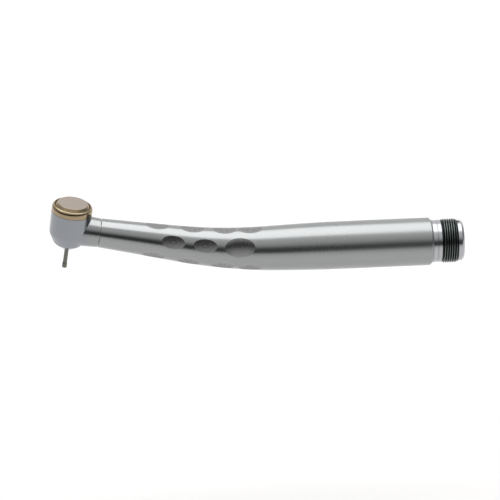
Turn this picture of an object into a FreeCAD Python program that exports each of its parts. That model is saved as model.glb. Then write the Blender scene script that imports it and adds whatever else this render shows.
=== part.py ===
import FreeCAD, Part
import math
import os
import re
import Sketcher

os.makedirs("parts", exist_ok=True)
Vector = FreeCAD.Vector
doc = FreeCAD.newDocument("handpiece")

# All sizes in millimetres and degrees.
# X runs along the rear handle, away from the head, from zero at the rear rim. Z is up, the button's side.
# Heights inside the head are measured along the head's own axis from where the neck's axis crosses it.
SIZES = {
    # path of the handle: straight rear, one gentle bend, straight neck
    "arc_start": 52.0,
    "bend_radius": 137.8,
    "bend_angle": 11.3,
    "neck_length": 29.8,
    "head_tilt": 9.6,
    # coupling at the rear
    "rim_r": 5.65,
    "rim_length": 1.6,
    "rim_bevel": 0.35,
    "thread_r": 6.145,
    "thread_root_r": 5.75,
    "thread_pitch": 0.635,
    "thread_crest": 0.16,
    "thread_end": 6.0,
    "recess_r": 4.6,
    "recess_depth": 4.8,
    "notch_r": 0.4,
    "collar_r": 5.85,
    "collar_end": 8.6,
    "core_r": 4.2,
    "core_gap": 0.15,
    "spigot_r": 4.8,
    "spigot_end": 14.0,
    "core_end": 13.0,
    "exhaust_r": 0.7,
    "exhaust_circle": 3.25,
    # handle shell
    "rear_bevel": 0.7,
    "seam_distance": 21.71,
    "finger_ball": 10.6,
    "finger_depth": 0.49,
    "thumb_ball": 7.8,
    "thumb_depth": 1.14,
    # tubes inside the handle
    "drive_r": 1.5,
    "drive_bore": 1.2,
    "drive_up": 0.9,
    "water_r": 0.6,
    "water_bore": 0.4,
    "water_up": -1.6,
    "tube_start": 4.95,
    "drive_reach": 23.4,
    "water_reach": 22.8,
    # head housing
    "head_r": 5.6,
    "waist_r": 5.4,
    "waist_level": -1.3,
    "waist_soften": 2.6,
    "belly_r": 3.95,
    "belly_level": -4.1,
    "belly_soften": 1.6,
    "nose_r": 2.1,
    "nose_level": -5.32,
    "nose_hole": 1.85,
    "cap_level": 5.25,
    "cap_bore": 5.1,
    "cap_seat": 4.0,
    "chamber_r": 4.65,
    "chamber_floor": -0.95,
    "bearing_seat": 3.45,
    "seat_floor": -3.55,
    "stub_far_r": 3.99,
    "stub_near_r": 4.25,
    "stub_bore": 2.5,
    "stub_wall": 6.3,
    "plug_r": 2.86,
    "plug_length": 4.0,
    "nozzle_r": 0.9,
    "port_r": 0.7,
    "spray_r": 0.3,
    # head cap and push button
    "ring_gap": 0.06,
    "ring_top": 7.2,
    "ring_lip": 4.88,
    "lip_under": 6.8,
    "ring_round": 0.45,
    "cup_r": 5.3,
    "cup_bore": 5.05,
    "cup_top": 6.6,
    "floor_top": 5.45,
    "floor_under": 5.06,
    "floor_hole": 1.8,
    "skirt_r": 4.4,
    "skirt_end": 2.5,
    "button_r": 4.7,
    "button_face": 4.1,
    "button_top": 7.82,
    "button_rim": 7.35,
    "flange_r": 4.99,
    "flange_top": 6.75,
    "flange_under": 6.3,
    "button_hollow": 4.0,
    "hollow_top": 7.15,
    "boss_r": 1.0,
    "boss_end": 5.7,
    "button_coil": 2.6,
    "button_wire": 0.17,
    "button_spring_foot": 5.63,
    "button_spring_rise": 1.38,
    # turbine cartridge
    "bearing_out": 3.175,
    "bearing_in": 1.5875,
    "bearing_width": 2.38,
    "ball_circle": 2.381,
    "ball_r": 0.5,
    "groove_r": 0.53,
    "outer_land": 2.72,
    "inner_land": 2.04,
    "cage_in": 2.2,
    "cage_out": 2.56,
    "cage_half": 0.72,
    "upper_bearing": 3.74,
    "lower_bearing": -2.19,
    "squeeze_r": 0.1375,
    "washer_under": 4.94,
    "washer_top": 5.05,
    "shield_under": -3.5,
    "shield_top": -3.42,
    "shield_r": 3.4,
    "shield_hole": 1.75,
    "wheel_r": 4.3,
    "web_r": 3.9,
    "hub_r": 2.45,
    "wheel_under": -0.85,
    "wheel_top": 2.3,
    "spindle_top": 5.2,
    "spindle_end": -5.2,
    "spindle_bore": 1.2,
    "chuck_r": 1.18,
    "chuck_bore": 0.81,
    "chuck_end": -5.1,
    "chuck_top": 2.6,
    "slot_width": 0.2,
    "slot_top": -1.5,
    "pusher_r": 1.15,
    "pusher_top": 5.35,
    "pusher_under": 3.8,
    "stem_r": 0.5,
    "stem_end": 2.75,
    "chuck_coil": 0.86,
    "chuck_wire": 0.12,
    "chuck_spring_rise": 0.92,
    # bur
    "shank_r": 0.8,
    "bur_top": 2.2,
    "shank_end": -5.9,
    "rod_start": -6.5,
    "rod_r": 0.58,
    "bur_neck_end": -10.3,
    "bur_head_r": 0.67,
    "bur_tip": -11.75,
}

# Outer and inner radius of the handle shell at each station, from the rear to the neck's seam.
# A station is a place on the straight rear, a share of the bend, or a length up the neck.
STATIONS = [
    ("rear", "collar_end", 6.58, 4.9),
    ("rear", 20.0, 6.6, 4.9),
    ("rear", 31.0, 6.59, 4.85),
    ("rear", 40.0, 6.53, 4.8),
    ("rear", "arc_start", 6.2, 4.6),
    ("bend", 0.25, 5.89, 4.3),
    ("bend", 0.5, 5.56, 4.05),
    ("bend", 0.75, 5.25, 3.8),
    ("bend", 1.0, 4.93, 3.5),
    ("neck", 7.0, 4.6, 3.2),
    ("neck", 14.0, 4.29, 2.98),
    ("neck", "seam_distance", 3.99, 2.88),
]

# Dimples: angle round the handle from its side, then the places along it.
# The side rows have three dimples, the last one deeper for the thumb; the others have four.
SIDE_ROW = [("neck", 2.0, "finger"), ("bend", 0.745, "finger"), ("bend", 0.383, "thumb")]
LONG_ROW = [
    ("neck", 6.7, "finger"),
    ("bend", 0.89, "finger"),
    ("bend", 0.55, "finger"),
    ("bend", 0.277, "finger"),
]
ROWS = [(90, LONG_ROW), (27, SIDE_ROW), (153, SIDE_ROW), (-38, LONG_ROW), (-142, LONG_ROW)]

for index, (kind, at, outer_r, inner_r) in enumerate(STATIONS):
    SIZES[f"shell_r_{index}"] = outer_r
    SIZES[f"shell_in_{index}"] = inner_r

sheet = doc.addObject("Spreadsheet::Sheet", "sizes")
for row, (name, number) in enumerate(SIZES.items(), 1):
    sheet.set(f"A{row}", name)
    sheet.set(f"B{row}", str(number))
    sheet.setAlias(f"B{row}", name)
doc.recompute()

made = []


def cells(text):
    """Turn bare size names into references to the sheet."""
    return re.sub(r"\b[a-z]+_[a-z_0-9]*\b", r"sizes.\g<0>", str(text))


def bind(thing, place, text):
    thing.setExpression(place, cells(text))


def size(name):
    return float(sheet.get(name)) if isinstance(name, str) else float(name)


HEAD_X = "(-arc_start - bend_radius * sin(bend_angle) - neck_length * cos(bend_angle))"
HEAD_Z = "(bend_radius * (1 - cos(bend_angle)) + neck_length * sin(bend_angle))"


def in_head(thing, height="0"):
    """Stand a piece on the head's axis, with its own Z along that axis."""
    thing.Placement = FreeCAD.Placement(Vector(0, 0, 0), FreeCAD.Rotation(Vector(0, 1, 0), 1))
    bind(thing, "Placement.Rotation.Angle", "head_tilt")
    bind(thing, "Placement.Base.x", f"{HEAD_X} + ({height}) * sin(head_tilt)")
    bind(thing, "Placement.Base.z", f"{HEAD_Z} + ({height}) * cos(head_tilt)")


def in_neck(thing, back, up="0", side="0"):
    """Lay a piece along the neck, its own Z pointing back to the handle."""
    thing.Placement = FreeCAD.Placement(Vector(0, 0, 0), FreeCAD.Rotation(Vector(0, 1, 0), 1))
    bind(thing, "Placement.Rotation.Angle", "90 + bend_angle")
    bind(thing, "Placement.Base.x", f"{HEAD_X} + ({back}) * cos(bend_angle) + ({up}) * sin(bend_angle)")
    bind(thing, "Placement.Base.y", side)
    bind(thing, "Placement.Base.z", f"{HEAD_Z} - ({back}) * sin(bend_angle) + ({up}) * cos(bend_angle)")


def along_x(thing, start, up="0", side="0"):
    """Lay a piece along the rear handle, its own Z pointing to the head."""
    thing.Placement = FreeCAD.Placement(Vector(0, 0, 0), FreeCAD.Rotation(Vector(0, 1, 0), -90))
    bind(thing, "Placement.Base.x", start)
    bind(thing, "Placement.Base.y", side)
    bind(thing, "Placement.Base.z", up)


def path_point(kind, at, up=0.0):
    """Place on the handle's centreline, or above it, with the turn of the path there."""
    radius = size("bend_radius")
    angle = size("bend_angle")
    if kind == "rear":
        return Vector(-size(at), 0, up), 0.0
    turn = angle * at if kind == "bend" else angle
    bend = math.radians(turn)
    x = -size("arc_start") - (radius - up) * math.sin(bend)
    z = radius - (radius - up) * math.cos(bend)
    if kind == "neck":
        x -= size(at) * math.cos(bend)
        z += size(at) * math.sin(bend)
    return Vector(x, 0, z), turn


def station_texts(kind, at):
    """The same place as expressions on the sheet: X, Z and turn."""
    if kind == "rear":
        return f"-{at}", "0", "0"
    turn = f"({at} * bend_angle)" if kind == "bend" else "bend_angle"
    x = f"-arc_start - bend_radius * sin({turn})"
    z = f"bend_radius * (1 - cos({turn}))"
    if kind == "neck":
        x += f" - {at} * cos(bend_angle)"
        z += f" + {at} * sin(bend_angle)"
    return x, z, turn


def new_body(name):
    return doc.addObject("PartDesign::Body", name)


def plane(body, role):
    return next(feature for feature in body.Origin.OriginFeatures if feature.Role == role)


def new_sketch(body, name, role):
    sketch = body.newObject("Sketcher::SketchObject", name)
    sketch.AttachmentSupport = [(plane(body, role), "")]
    sketch.MapMode = "FlatFace"
    return sketch


def outline(sketch, corners):
    """Close a straight-sided outline whose corner coordinates come from the sheet."""
    count = len(corners)
    for index in range(count):
        here = 2 * math.pi * index / count
        there = 2 * math.pi * (index + 1) / count
        start = Vector(3 + math.cos(here), math.sin(here), 0)
        end = Vector(3 + math.cos(there), math.sin(there), 0)
        sketch.addGeometry(Part.LineSegment(start, end), False)
    for index in range(count):
        sketch.addConstraint(Sketcher.Constraint("Coincident", index, 2, (index + 1) % count, 1))
    for index, corner in enumerate(corners):
        for kind, text in zip(("DistanceX", "DistanceY"), corner):
            number = sketch.addConstraint(Sketcher.Constraint(kind, -1, 1, index, 1, 1.0))
            bind(sketch, f"Constraints[{number}]", text)


def ring_of(sketch, centre, radius):
    """One circle whose centre and radius come from the sheet."""
    number = sketch.addGeometry(Part.Circle(Vector(1, 1, 0), Vector(0, 0, 1), 1), False)
    for kind, text in zip(("DistanceX", "DistanceY"), centre):
        rule = sketch.addConstraint(Sketcher.Constraint(kind, -1, 1, number, 3, 1.0))
        bind(sketch, f"Constraints[{rule}]", text)
    rule = sketch.addConstraint(Sketcher.Constraint("Radius", number, 1.0))
    bind(sketch, f"Constraints[{rule}]", radius)


def turned(name, corners, axis="V_Axis"):
    """A piece turned on a lathe: its half outline spun round one axis of the sketch."""
    body = new_body(name)
    sketch = new_sketch(body, name + "_outline", "XZ_Plane")
    outline(sketch, corners)
    spin = body.newObject("PartDesign::Revolution", name + "_turned")
    spin.Profile = (sketch, [""])
    spin.ReferenceAxis = (sketch, [axis])
    spin.Angle = 360
    return body


def patterned(body, features, count, angle=360):
    pattern = body.newObject("PartDesign::PolarPattern", body.Name + "_pattern")
    pattern.Originals = features
    pattern.Axis = (plane(body, "Z_Axis"), "")
    pattern.Angle = angle
    pattern.Occurrences = count
    body.Tip = pattern
    return pattern


def spring(name, coil, wire, foot, pitch, rise):
    """A round wire wound round the head's axis."""
    body = new_body(name)
    sketch = new_sketch(body, name + "_wire", "XZ_Plane")
    ring_of(sketch, (coil, foot), wire)
    helix = body.newObject("PartDesign::AdditiveHelix", name + "_coil")
    helix.Profile = (sketch, [""])
    helix.ReferenceAxis = (sketch, ["V_Axis"])
    helix.Mode = 0
    bind(helix, "Pitch", pitch)
    bind(helix, "Height", rise)
    in_head(body)
    return body


def cylinder(name, radius, height):
    thing = doc.addObject("Part::Cylinder", name)
    bind(thing, "Radius", radius)
    bind(thing, "Height", height)
    return thing


def cut(name, base, tools):
    """Take several tools away from one base, one after the other."""
    for index, tool in enumerate(tools, 1):
        result = doc.addObject("Part::Cut", name if index == len(tools) else f"{name}_cut_{index}")
        result.Base = base
        result.Tool = tool
        base = result
    return base


def keep(node, thing):
    thing.Label = node
    made.append(thing)
    return thing


# Head housing: barrel and nose turned in one, the neck stub added, then bored from above and behind.
barrel = turned(
    "head_barrel",
    [
        ("0", "cap_level"),
        ("head_r", "cap_level"),
        ("waist_r", "waist_level"),
        ("belly_r", "belly_level"),
        ("nose_r", "nose_level"),
        ("0", "nose_level"),
    ],
)
doc.recompute()
for place in ("waist", "belly"):
    round_edge = [
        f"Edge{number}"
        for number, edge in enumerate(barrel.Shape.Edges, 1)
        if edge.BoundBox.ZLength < 0.01 and abs(edge.BoundBox.ZMax - size(f"{place}_level")) < 0.01
    ]
    sharp_barrel = barrel.Tip
    softened = barrel.newObject("PartDesign::Fillet", f"{place}_round")
    softened.Base = (sharp_barrel, round_edge)
    bind(softened, "Radius", f"{place}_soften")
    doc.recompute()
in_head(barrel)

SEAM = "(neck_length - seam_distance)"
stub = doc.addObject("Part::Cone", "neck_stub")
bind(stub, "Radius1", "stub_near_r")
bind(stub, "Radius2", "stub_far_r")
bind(stub, "Height", f"{SEAM} - 3")
in_neck(stub, "3")
plug = cylinder("neck_plug", "plug_r", "plug_length + 1")
in_neck(plug, f"{SEAM} - 1")
solid_head = doc.addObject("Part::MultiFuse", "solid_head")
solid_head.Shapes = [barrel, stub, plug]
turning_tools = turned(
    "head_bore",
    [
        ("0", "nose_level - 1"),
        ("nose_hole", "nose_level - 1"),
        ("nose_hole", "seat_floor"),
        ("bearing_seat", "seat_floor"),
        ("bearing_seat", "chamber_floor"),
        ("chamber_r", "chamber_floor"),
        ("chamber_r", "cap_seat"),
        ("cap_bore", "cap_seat"),
        ("cap_bore", "cap_level + 1"),
        ("0", "cap_level + 1"),
    ],
)
in_head(turning_tools)
neck_bore = cylinder("neck_bore", "stub_bore", f"{SEAM} + plug_length + 1 - stub_wall")
in_neck(neck_bore, "stub_wall")
drive_hole = cylinder("drive_hole", "nozzle_r", "stub_wall - 2")
in_neck(drive_hole, "2.5", "drive_up")
ports = []
for name, side in (("left_port", "1.45"), ("right_port", "-1.45")):
    port = cylinder(name, "port_r", "stub_wall - 2")
    in_neck(port, "2.5", "0.2", side)
    ports.append(port)
spray_hole = cylinder("spray_hole", "spray_r", "6")
spray_hole.Placement = FreeCAD.Placement(Vector(0, 0, 0), FreeCAD.Rotation(Vector(0, 1, 0), 1))
bind(spray_hole, "Placement.Rotation.Angle", "180 + bend_angle + 32")
bind(spray_hole, "Placement.Base.x", f"{HEAD_X} + 6.6 * cos(bend_angle) - 1.5 * sin(bend_angle)")
bind(spray_hole, "Placement.Base.z", f"{HEAD_Z} - 6.6 * sin(bend_angle) - 1.5 * cos(bend_angle)")
keep("head_housing", cut("head_housing", solid_head,
                         [turning_tools, neck_bore, drive_hole, *ports, spray_hole]))

# Cap: a steel cup that screws into the housing and holds the upper bearing, under a coated ring.
cap_base = turned(
    "cap_base",
    [
        ("floor_hole", "floor_under"),
        ("bearing_seat", "floor_under"),
        ("bearing_seat", "skirt_end"),
        ("skirt_r", "skirt_end"),
        ("skirt_r", "cap_seat + 0.1"),
        ("cap_bore - 0.03", "cap_seat + 0.1"),
        ("cap_bore - 0.03", "cap_level"),
        ("cup_r", "cap_level"),
        ("cup_r", "cup_top"),
        ("cup_bore", "cup_top"),
        ("cup_bore", "floor_top"),
        ("floor_hole", "floor_top"),
    ],
)
in_head(cap_base)
keep("cap_base", cap_base)
cap_ring = turned(
    "cap_ring",
    [
        ("cup_r", "cap_level + ring_gap"),
        ("head_r", "cap_level + ring_gap"),
        ("head_r", "ring_top - ring_round"),
        ("head_r - 0.3 * ring_round", "ring_top - 0.3 * ring_round"),
        ("head_r - ring_round", "ring_top"),
        ("ring_lip", "ring_top"),
        ("ring_lip", "lip_under"),
        ("cup_r", "lip_under"),
    ],
)
in_head(cap_ring)
keep("cap_ring", cap_ring)
button = turned(
    "push_button",
    [
        ("0", "button_top"),
        ("button_face", "button_top"),
        ("button_r", "button_rim"),
        ("button_r", "flange_top"),
        ("flange_r", "flange_top"),
        ("flange_r", "flange_under"),
        ("button_hollow", "flange_under"),
        ("button_hollow", "hollow_top"),
        ("boss_r", "hollow_top"),
        ("boss_r", "boss_end"),
        ("0", "boss_end"),
    ],
)
in_head(button)
keep("push_button", button)
keep("button_spring", spring("button_spring", "button_coil", "button_wire", "button_spring_foot",
                             "button_spring_rise / 2", "button_spring_rise"))

# Turbine cartridge: spindle, wheel, two ball bearings, seals, chuck and its spring.
spindle = turned(
    "spindle",
    [
        ("spindle_bore", "spindle_end"),
        ("bearing_in - 0.15", "spindle_end"),
        ("bearing_in", "spindle_end + 0.4"),
        ("bearing_in", "spindle_top"),
        ("spindle_bore", "spindle_top"),
    ],
)
in_head(spindle)
keep("spindle", spindle)

wheel = turned(
    "turbine_wheel",
    [
        ("bearing_in", "wheel_under"),
        ("hub_r", "wheel_under"),
        ("hub_r", "wheel_under + 1.05"),
        ("web_r", "wheel_under + 1.15"),
        ("web_r", "wheel_under + 1.4"),
        ("hub_r", "wheel_under + 1.5"),
        ("hub_r", "wheel_top"),
        ("bearing_in", "wheel_top"),
    ],
)
blade_outline = new_sketch(wheel, "blade_outline", "XY_Plane")
bind(blade_outline, "AttachmentOffset.Base.z", "wheel_under")
outline(
    blade_outline,
    [
        ("hub_r - 0.1", "-0.35"),
        ("web_r - 0.4", "-0.1"),
        ("wheel_r", "0.45"),
        ("wheel_r - 0.12", "0.75"),
        ("web_r - 0.55", "0.22"),
        ("hub_r - 0.1", "0.02"),
    ],
)
blade = wheel.newObject("PartDesign::Pad", "blade")
blade.Profile = (blade_outline, [""])
bind(blade, "Length", "wheel_top - wheel_under")
patterned(wheel, [blade], 10)
in_head(wheel)
keep("turbine_wheel", wheel)

for end in ("upper", "lower"):
    level = f"{end}_bearing"
    half = "bearing_width / 2"
    outer = turned(f"{end}_outer_ring", [
        ("outer_land", f"-({half})"),
        ("bearing_out", f"-({half})"),
        ("bearing_out", half),
        ("outer_land", half),
    ])
    inner = turned(f"{end}_inner_ring", [
        ("bearing_in", f"-({half})"),
        ("inner_land", f"-({half})"),
        ("inner_land", half),
        ("bearing_in", half),
    ])
    for ring in (outer, inner):
        race = new_sketch(ring, ring.Name + "_race", "XZ_Plane")
        ring_of(race, ("ball_circle", "0"), "groove_r")
        groove = ring.newObject("PartDesign::Groove", ring.Name + "_groove")
        groove.Profile = (race, [""])
        groove.ReferenceAxis = (race, ["V_Axis"])
        groove.Angle = 360
        in_head(ring, level)
        keep(ring.Name, ring)
    cage = turned(f"{end}_ball_cage", [
        ("cage_in", "-cage_half"),
        ("cage_out", "-cage_half"),
        ("cage_out", "cage_half"),
        ("cage_in", "cage_half"),
    ])
    ball = cage.newObject("PartDesign::AdditiveSphere", f"{end}_ball")
    bind(ball, "Radius", "ball_r")
    ball.AttachmentSupport = [(plane(cage, "XY_Plane"), "")]
    ball.MapMode = "FlatFace"
    bind(ball, "AttachmentOffset.Base.x", "ball_circle")
    patterned(cage, [ball], 8)
    in_head(cage, level)
    keep(f"{end}_ball_cage", cage)
    seal = doc.addObject("Part::Torus", f"{end}_o_ring")
    bind(seal, "Radius1", "bearing_out + squeeze_r")
    bind(seal, "Radius2", "squeeze_r")
    in_head(seal, level)
    keep(f"{end}_o_ring", seal)

for name, low, high, inside, outside in (
    ("preload_washer", "washer_under", "washer_top", "2.75", "3.1"),
    ("dust_shield", "shield_under", "shield_top", "shield_hole", "shield_r"),
):
    disc = turned(name, [(inside, low), (outside, low), (outside, high), (inside, high)])
    in_head(disc)
    keep(name, disc)

chuck = turned(
    "chuck_collet",
    [
        ("chuck_bore", "chuck_end"),
        ("chuck_r", "chuck_end"),
        ("chuck_r", "chuck_top"),
        ("chuck_bore", "chuck_top"),
    ],
)
slot_outline = new_sketch(chuck, "slot_outline", "XZ_Plane")
outline(
    slot_outline,
    [
        ("-slot_width / 2", "chuck_end - 0.5"),
        ("slot_width / 2", "chuck_end - 0.5"),
        ("slot_width / 2", "slot_top"),
        ("-slot_width / 2", "slot_top"),
    ],
)
slot = chuck.newObject("PartDesign::Pocket", "slot")
slot.Profile = (slot_outline, [""])
slot.Type = 1
slot.Midplane = True
second_slot = patterned(chuck, [slot], 2, 90)
in_head(chuck)
keep("chuck_collet", chuck)

pusher = turned(
    "chuck_pusher",
    [
        ("0", "stem_end"),
        ("stem_r", "stem_end"),
        ("stem_r", "pusher_under"),
        ("pusher_r", "pusher_under"),
        ("pusher_r", "pusher_top"),
        ("0", "pusher_top"),
    ],
)
in_head(pusher)
keep("chuck_pusher", pusher)
keep("chuck_spring", spring("chuck_spring", "chuck_coil", "chuck_wire", "chuck_top + 1.1 * chuck_wire",
                            "chuck_spring_rise / 2.5", "chuck_spring_rise"))

# Bur: gripped shank, thinner rod, and a slightly fuller cutting end with a rounded tip.
bur = turned(
    "bur",
    [
        ("0", "bur_top"),
        ("shank_r - 0.15", "bur_top"),
        ("shank_r", "bur_top - 0.2"),
        ("shank_r", "shank_end"),
        ("rod_r", "rod_start"),
        ("rod_r", "bur_neck_end"),
        ("bur_head_r", "bur_neck_end - 0.25"),
        ("bur_head_r", "bur_tip + 0.25"),
        ("bur_head_r - 0.25", "bur_tip"),
        ("0", "bur_tip"),
    ],
)
in_head(bur)
keep("bur", bur)

# Handle shell: round sections lofted along the path, bored the same way, then dimpled with a ball cutter.
shell = new_body("handle_shell")
for side, loft_kind in (("out", "PartDesign::AdditiveLoft"), ("in", "PartDesign::SubtractiveLoft")):
    rings = []
    for index, (kind, at, outer_r, inner_r) in enumerate(STATIONS):
        section = new_sketch(shell, f"shell_{side}_section_{index}", "YZ_Plane")
        ring_of(section, ("0", "0"), f"shell_r_{index}" if side == "out" else f"shell_in_{index}")
        section.AttachmentOffset = FreeCAD.Placement(Vector(0, 0, 0), FreeCAD.Rotation(Vector(1, 0, 0), 1))
        x, z, turn = station_texts(kind, at)
        bind(section, "AttachmentOffset.Base.z", x)
        bind(section, "AttachmentOffset.Base.y", z)
        bind(section, "AttachmentOffset.Rotation.Angle", turn)
        rings.append(section)
    loft = shell.newObject(loft_kind, f"shell_{side}_loft")
    loft.Profile = rings[0]
    loft.Sections = rings[1:]
    loft.Ruled = False
doc.recompute()
rear_edge = [
    f"Edge{number}"
    for number, edge in enumerate(shell.Shape.Edges, 1)
    if edge.BoundBox.XLength < 0.01
    and abs(edge.BoundBox.XMax + size("collar_end")) < 0.01
    and edge.BoundBox.YLength > 2 * size("shell_r_0") - 0.1
]
hollow_shell = shell.Tip
bevel = shell.newObject("PartDesign::Chamfer", "rear_chamfer")
bevel.Base = (hollow_shell, rear_edge)
bind(bevel, "Size", "rear_bevel")


def shell_radius(kind, at):
    """Outer radius of the shell between two stations, read off straight."""
    def run(station_kind, station_at):
        if station_kind == "rear":
            return size(station_at)
        if station_kind == "bend":
            return size("arc_start") + size("bend_radius") * math.radians(size("bend_angle")) * station_at
        return size("arc_start") + size("bend_radius") * math.radians(size("bend_angle")) + size(station_at)

    here = run(kind, at)
    places = [run(station[0], station[1]) for station in STATIONS]
    for index in range(len(places) - 1):
        if places[index] <= here <= places[index + 1]:
            share = (here - places[index]) / (places[index + 1] - places[index])
            return size(f"shell_r_{index}") * (1 - share) + size(f"shell_r_{index + 1}") * share
    return size("shell_r_0")


number = 0
for angle, row in ROWS:
    for kind, at, grip in row:
        number += 1
        centre, turn = path_point(kind, at)
        outward = FreeCAD.Rotation(Vector(0, 1, 0), turn).multVec(
            Vector(0, math.cos(math.radians(angle)), math.sin(math.radians(angle)))
        )
        reach = shell_radius(kind, at) + size(f"{grip}_ball") - size(f"{grip}_depth")
        dimple = shell.newObject("PartDesign::SubtractiveSphere", f"dimple_{number}")
        bind(dimple, "Radius", f"{grip}_ball")
        dimple.AttachmentSupport = [(plane(shell, "XY_Plane"), "")]
        dimple.MapMode = "FlatFace"
        dimple.AttachmentOffset = FreeCAD.Placement(centre + outward * reach, FreeCAD.Rotation())
shell.Tip = dimple
keep("handle_shell", shell)


# Tubes for drive air and water, following the handle from the connector to the head.
def tube(name, radius, bore, up, reach):
    body = new_body(name)
    path = new_sketch(body, name + "_path", "XZ_Plane")
    rise = size(up)
    start, _ = path_point("rear", "tube_start", rise)
    first, _ = path_point("rear", "arc_start", rise)
    second, turn = path_point("bend", 1.0, rise)
    last, _ = path_point("neck", reach, rise)
    lean = math.radians(turn)
    radius_here = size("bend_radius") - rise
    path.addGeometry(Part.LineSegment(Vector(start.x, start.z, 0), Vector(first.x, first.z, 0)), False)
    middle = Part.Circle(Vector(first.x, size("bend_radius"), 0), Vector(0, 0, 1), radius_here)
    path.addGeometry(Part.ArcOfCircle(middle, -math.pi / 2 - lean, -math.pi / 2), False)
    path.addGeometry(Part.LineSegment(Vector(second.x, second.z, 0), Vector(last.x, last.z, 0)), False)
    path.addConstraint(Sketcher.Constraint("Coincident", 0, 2, 1, 2))
    path.addConstraint(Sketcher.Constraint("Coincident", 1, 1, 2, 1))
    texts = [
        ((0, 1), "-tube_start", up),
        ((0, 2), "-arc_start", up),
        ((1, 3), "-arc_start", "bend_radius"),
        ((2, 1), f"-arc_start - (bend_radius - {up}) * sin(bend_angle)",
         f"bend_radius - (bend_radius - {up}) * cos(bend_angle)"),
        ((2, 2), f"-arc_start - (bend_radius - {up}) * sin(bend_angle) - {reach} * cos(bend_angle)",
         f"bend_radius - (bend_radius - {up}) * cos(bend_angle) + {reach} * sin(bend_angle)"),
    ]
    places = [start, first, Vector(first.x, 0, size("bend_radius")), second, last]
    for (place, x_text, z_text), known in zip(texts, places):
        for kind, text, value in (("DistanceX", x_text, known.x), ("DistanceY", z_text, known.z)):
            if place == (2, 1) and kind == "DistanceY":
                continue
            rule = path.addConstraint(Sketcher.Constraint(kind, -1, 1, place[0], place[1], value))
            bind(path, f"Constraints[{rule}]", text)
    profile = new_sketch(body, name + "_section", "YZ_Plane")
    bind(profile, "AttachmentOffset.Base.z", "-tube_start")
    ring_of(profile, ("0", up), radius)
    ring_of(profile, ("0", up), bore)
    pipe = body.newObject("PartDesign::AdditivePipe", name + "_pipe")
    pipe.Profile = profile
    pipe.Spine = (path, ["Edge1", "Edge2", "Edge3"])
    return keep(name, body)


tube("drive_air_tube", "drive_r", "drive_bore", "drive_up", "drive_reach")
tube("water_tube", "water_r", "water_bore", "water_up", "water_reach")

# Rear coupling: threaded ring with its rim and inner spigot, the collar round it, core and seal.
coupling = turned(
    "coupling_blank",
    [
        ("0", "rim_r - rim_bevel"),
        ("-rim_bevel", "rim_r"),
        ("-rim_length", "rim_r"),
        ("-rim_length", "thread_root_r"),
        ("-thread_end", "thread_root_r"),
        ("-thread_end", "5.3"),
        ("-collar_end", "5.3"),
        ("-collar_end", "spigot_r"),
        ("-spigot_end", "spigot_r"),
        ("-spigot_end", "core_r"),
        ("-recess_depth", "core_r"),
        ("-recess_depth", "recess_r"),
        ("0", "recess_r"),
    ],
    "H_Axis",
)
crest_outline = new_sketch(coupling, "crest_outline", "XZ_Plane")
outline(
    crest_outline,
    [
        ("-rim_length", "thread_root_r - 0.05"),
        ("-rim_length", "thread_root_r"),
        ("-rim_length - thread_pitch / 2 + thread_crest / 2", "thread_r"),
        ("-rim_length - thread_pitch / 2 - thread_crest / 2", "thread_r"),
        ("-rim_length - 0.96 * thread_pitch", "thread_root_r"),
        ("-rim_length - 0.96 * thread_pitch", "thread_root_r - 0.05"),
    ],
)
crest = coupling.newObject("PartDesign::Revolution", "crest")
crest.Profile = (crest_outline, [""])
crest.ReferenceAxis = (crest_outline, ["H_Axis"])
crest.Angle = 360
crests = coupling.newObject("PartDesign::LinearPattern", "crests")
crests.Originals = [crest]
crests.Direction = (plane(coupling, "X_Axis"), "")
crests.Reversed = True
bind(crests, "Length", "6 * thread_pitch")
crests.Occurrences = 7
coupling.Tip = crests
notch = cylinder("notch_drill", "notch_r", "3")
bind(notch, "Placement.Base.x", "-rim_length + notch_r * 0.6")
bind(notch, "Placement.Base.z", "rim_r - 0.7")
keep("coupling_ring", cut("coupling_ring", coupling, [notch]))

keep("rear_collar", turned(
    "rear_collar",
    [
        ("-thread_end - 0.05", "5.32"),
        ("-thread_end - 0.05", "collar_r - 0.15"),
        ("-thread_end - 0.2", "collar_r"),
        ("-thread_end - 1.15", "collar_r"),
        ("-thread_end - 1.25", "collar_r - 0.12"),
        ("-thread_end - 1.35", "collar_r"),
        ("-collar_end + 0.05", "collar_r"),
        ("-collar_end + 0.05", "5.32"),
    ],
    "H_Axis",
))

core = turned(
    "core_blank",
    [
        ("-recess_depth - core_gap", "0"),
        ("-recess_depth - core_gap", "core_r - 0.02"),
        ("-core_end", "core_r - 0.02"),
        ("-core_end", "0"),
    ],
    "H_Axis",
)
drive_seat = cylinder("drive_seat", "drive_r", "core_end")
along_x(drive_seat, "-1", "drive_up")
water_seat = cylinder("water_seat", "water_r", "core_end")
along_x(water_seat, "-1", "water_up")
core_tools = [drive_seat, water_seat]
for index, angle in enumerate((25, 155, 205, 335, 250, 290)):
    hole = cylinder(f"exhaust_{index}", "exhaust_r", "core_end")
    along_x(hole, "-1", f"exhaust_circle * sin({angle})", f"exhaust_circle * cos({angle})")
    core_tools.append(hole)
keep("connector_core", cut("connector_core", core, core_tools))

doc.recompute()
for thing in doc.Objects:
    if any(word in thing.State for word in ("Invalid", "Error")):
        raise RuntimeError(f"{thing.Label}: {thing.State}")
for thing in made:
    shape = thing.Shape
    if shape.isNull() or not shape.isValid():
        raise RuntimeError(f"{thing.Label} has no valid shape")
    shape.exportStep(f"parts/{thing.Label}.step")
    print(thing.Label, len(shape.Solids), round(shape.Volume, 3))
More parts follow.
